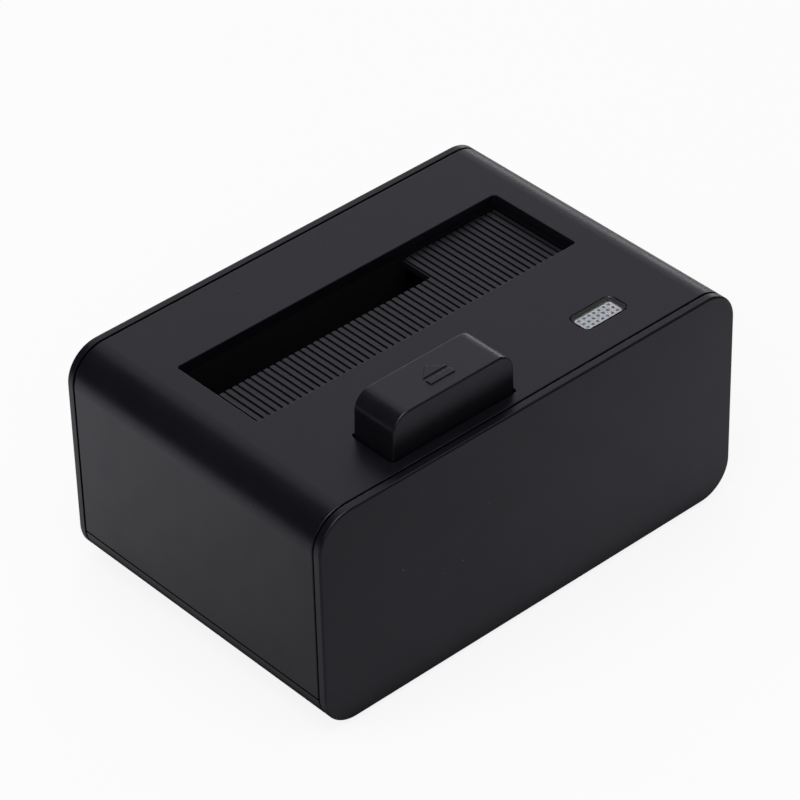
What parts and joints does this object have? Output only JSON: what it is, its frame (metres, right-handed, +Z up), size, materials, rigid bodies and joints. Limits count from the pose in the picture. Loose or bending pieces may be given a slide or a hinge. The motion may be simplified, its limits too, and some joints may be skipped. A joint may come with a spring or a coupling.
{
  "type": "hard drive docking station",
  "caption": "Desktop docking station for bare hard drives: top slot with a sprung grooved flap, raised eject button, indicator window, and data, power and switch at the rear.",
  "frame": {"origin": "on the surface that the rubber feet stand on, at the middle of the whole outline, rocker included", "axes": "+X to the right seen from the front, +Y to the rear where the ports are, +Z up"},
  "size_m": [0.1354, 0.0954, 0.0763],
  "materials": {
    "case_plastic": "satin",
    "bay_plastic": "satin",
    "flap_plastic": "satin",
    "button_plastic": "satin",
    "clear_plastic": "gloss",
    "white_plastic": "frosted",
    "guide_plastic": "gloss",
    "blue_plastic": "satin",
    "inlet_plastic": "satin",
    "socket_plastic": "satin",
    "rubber": "matte",
    "steel": "bright",
    "spring_steel": "bright",
    "dark_screw": "blackened",
    "contact_metal": "plated",
    "board_laminate": "lacquered",
    "chip_black": "matte",
    "coil_ferrite": "matte",
    "ceramic": "matte",
    "can_aluminium": "bright",
    "lamp_resin": "gloss",
    "lever_plastic": "satin"
  },
  "bodies": {
    "case": {"activity_lamp": "lamp_resin", "base_screws": "dark_screw", "base_tray": "case_plastic", "bay_screws": "dark_screw", "board_screws": "steel", "bridge_chip": "chip_black", "button_guide": "bay_plastic", "button_spring_left": "spring_steel", "button_spring_right": "spring_steel", "ceramic_capacitors": "ceramic", "crystal_can": "steel", "drive_bay": "bay_plastic", "flap_hinge_rod": "steel", "flap_spring_left": "spring_steel", "flap_spring_right": "spring_steel", "front_plate": "case_plastic", "guide_screws": "dark_screw", "jack_pin": "steel", "jack_spring": "steel", "lever_pin": "steel", "lever_pin_clip": "spring_steel", "light_guide": "guide_plastic", "main_board": "board_laminate", "power_coils": "coil_ferrite", "power_jack": "inlet_plastic", "power_lamp": "lamp_resin", "rear_plate": "case_plastic", "regulators": "chip_black", "rubber_feet": "rubber", "sata_contacts": "contact_metal", "sata_socket": "socket_plastic", "smoothing_capacitors": "can_aluminium", "switch_housing": "inlet_plastic", "switch_terminals": "contact_metal", "top_cover": "case_plastic", "usb_contacts": "contact_metal", "usb_insert": "blue_plastic", "usb_shell": "steel", "window_diffuser": "white_plastic", "window_lens": "clear_plastic"},
    "flap": {"drive_flap": "flap_plastic"},
    "button": {"eject_button": "button_plastic"},
    "lever": {"eject_lever": "lever_plastic"},
    "rocker": {"switch_rocker": "button_plastic"}
  },
  "joints": [
    {"name": "flap_hinge", "type": "hinge", "parent": "case", "child": "flap", "pos_m": [0, -0.00709, 0.0593], "axis": [-1, 0, 0], "range_deg": [0, 90], "stiffness_Nm_per_rad": 0.003, "springref_deg": -20.05, "deforming": ["flap_spring_left", "flap_spring_right"]},
    {"name": "button_slide", "type": "slide", "parent": "case", "child": "button", "axis": [0, 0, -1], "range_m": [0, 0.006], "stiffness_N_per_m": 300, "springref_m": -0.003, "deforming": ["button_spring_left", "button_spring_right"]},
    {"name": "lever_hinge", "type": "hinge", "parent": "case", "child": "lever", "pos_m": [0, -0.01129, 0.0302], "axis": [1, 0, 0], "range_deg": [0, 16.5]},
    {"name": "rocker_hinge", "type": "hinge", "parent": "case", "child": "rocker", "pos_m": [-0.0228, 0.0425, 0.0359], "axis": [1, 0, 0], "range_deg": [0, 28]}
  ],
  "couplings": [
    {"joint": "lever_hinge", "follows": "button_slide", "rad_per_m": 47.847}
  ]
}
